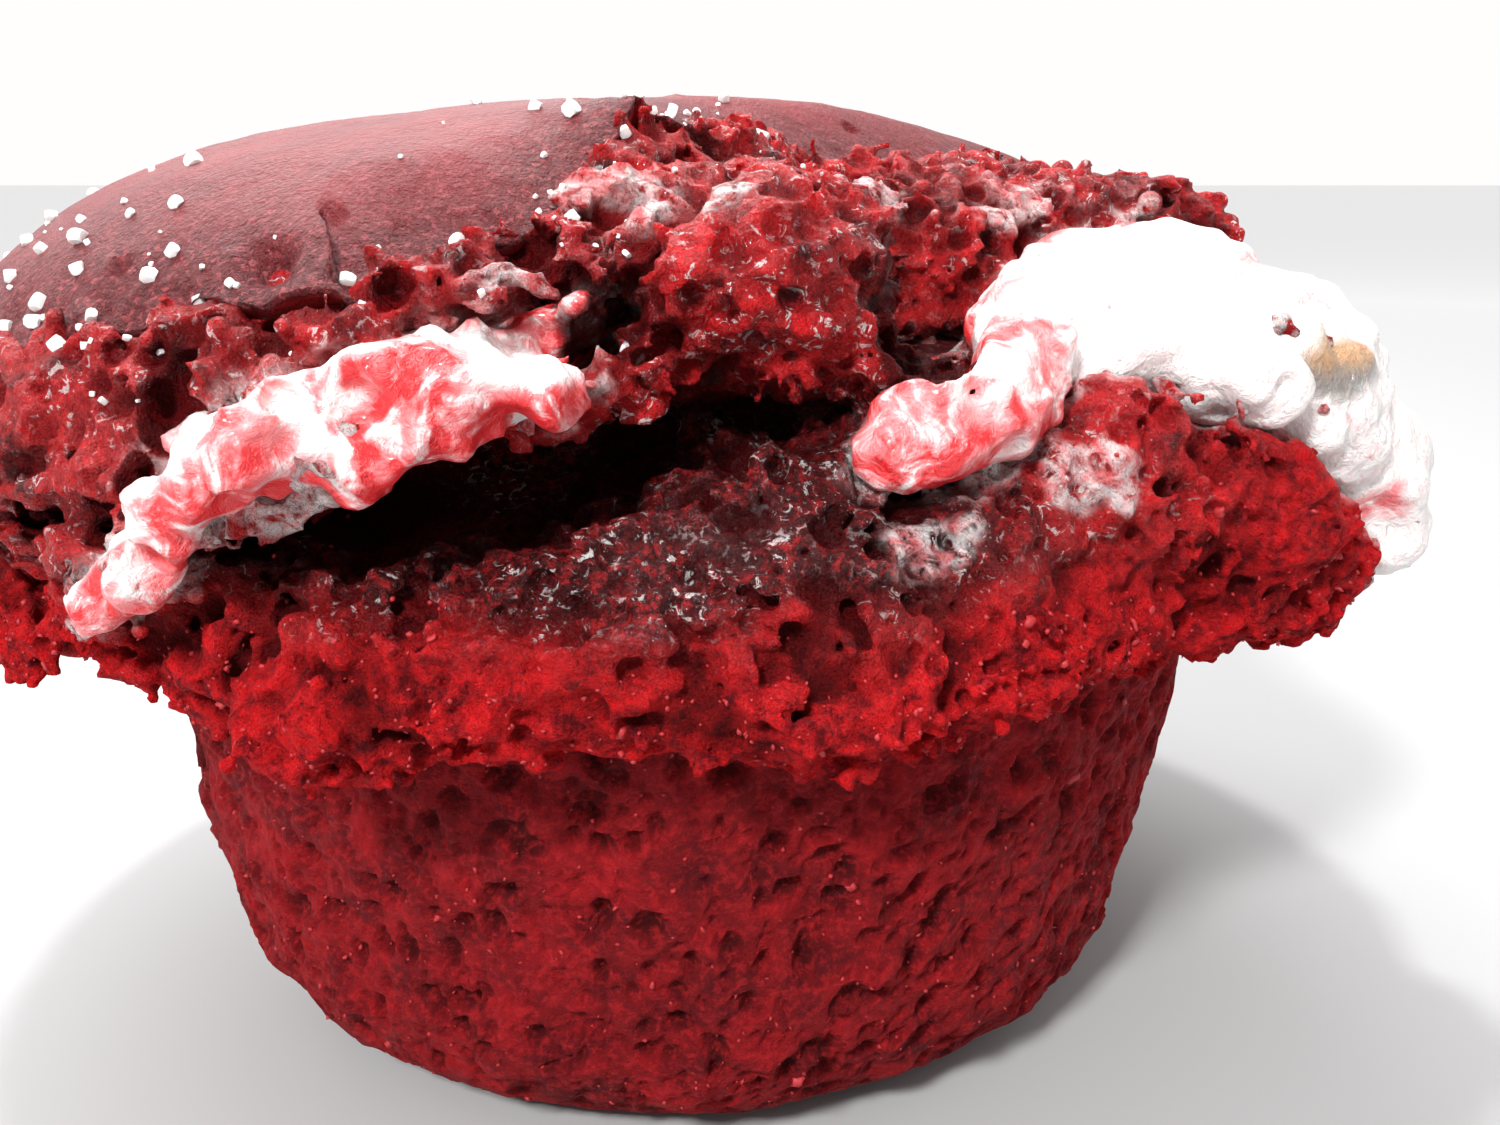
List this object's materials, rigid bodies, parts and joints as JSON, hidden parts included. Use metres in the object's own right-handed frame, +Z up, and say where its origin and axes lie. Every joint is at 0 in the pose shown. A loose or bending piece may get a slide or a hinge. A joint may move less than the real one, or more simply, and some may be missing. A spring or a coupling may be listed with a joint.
{
  "type": "cupcake",
  "caption": "Red sponge cupcake without a paper case, its wide crown burst open at the front, with cream filling showing in the tear and coarse sugar on the crust.",
  "frame": {"origin": "centre of the flat base, in the plane that the cupcake stands on", "axes": "+Z up; -Y towards the open torn front of the crown; +X to the right seen from that front"},
  "size_m": [0.0914, 0.0882, 0.0592],
  "materials": {
    "sponge": "open porous deep red crumb, wet and glossy in the tear, with a smooth dusty crust on top",
    "cream": "soft white cream cheese filling stained pink by the crumb, satin",
    "sugar": "clear to white crystals"
  },
  "bodies": {
    "root": {"cake": "sponge", "filling": "cream"}
  },
  "joints": []
}
